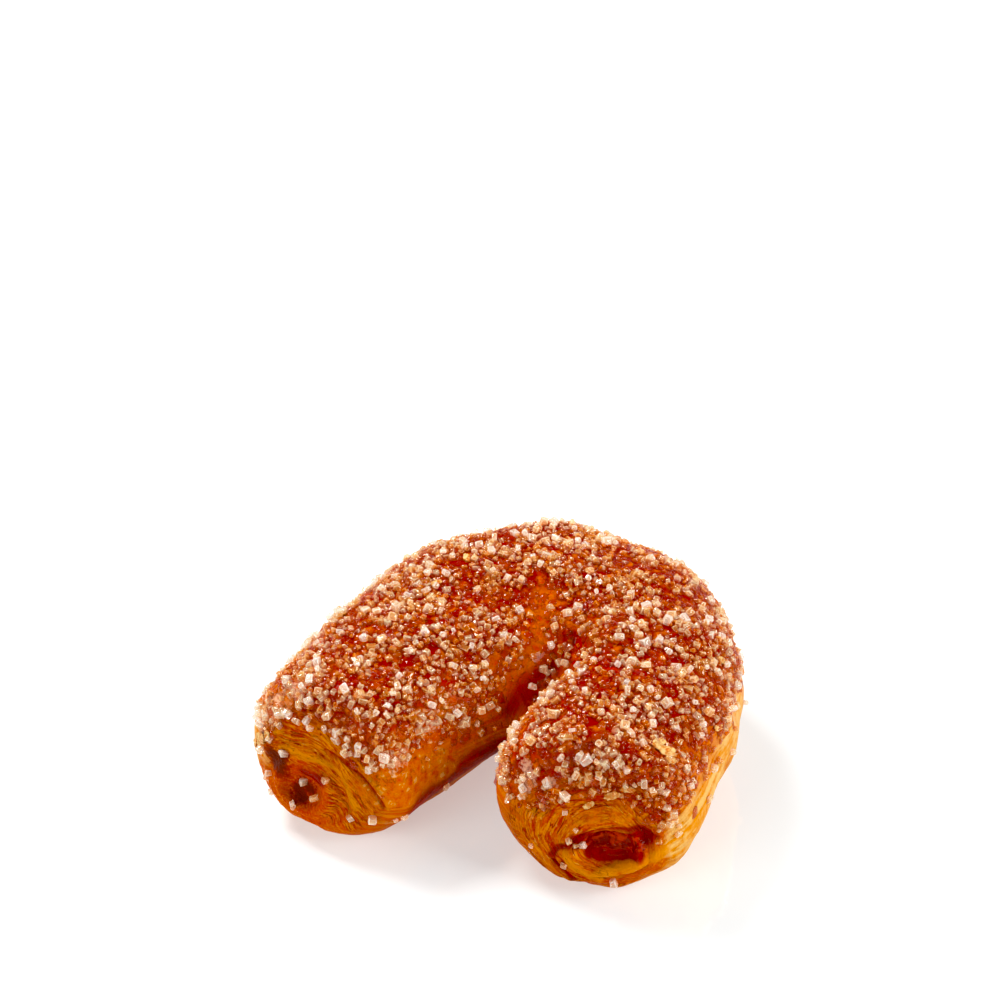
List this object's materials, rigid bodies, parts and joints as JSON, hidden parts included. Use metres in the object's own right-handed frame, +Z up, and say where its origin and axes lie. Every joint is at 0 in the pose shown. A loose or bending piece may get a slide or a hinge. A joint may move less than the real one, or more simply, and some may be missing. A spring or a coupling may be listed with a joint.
{
  "type": "horseshoe brioche with coarse sugar",
  "caption": "Fat roll of layered brioche dough bent into a horseshoe, arms baked together at the bend, glossy brown crust strewn with coarse sugar, layers and jam showing at both cut tips.",
  "frame": {"origin": "middle of the footprint's bounding box, on the surface the brioche lies on", "axes": "+Z up, +Y towards the outside of the bend, arms pointing to -Y, the longer arm on the -X side"},
  "size_m": [0.1192, 0.1135, 0.0503],
  "materials": {
    "crust": "egg-glazed brown crust, glossy mahogany on the crown and golden on the lower sides and the cut tips",
    "sugar": "coarse glassy sugar crystals, clear to amber",
    "filling": "caramelised red fruit filling that has bubbled out at the tips",
    "flake": "thin dry pastry flakes, pale gold with browned edges"
  },
  "bodies": {
    "root": {"brioche": "crust"}
  },
  "joints": []
}
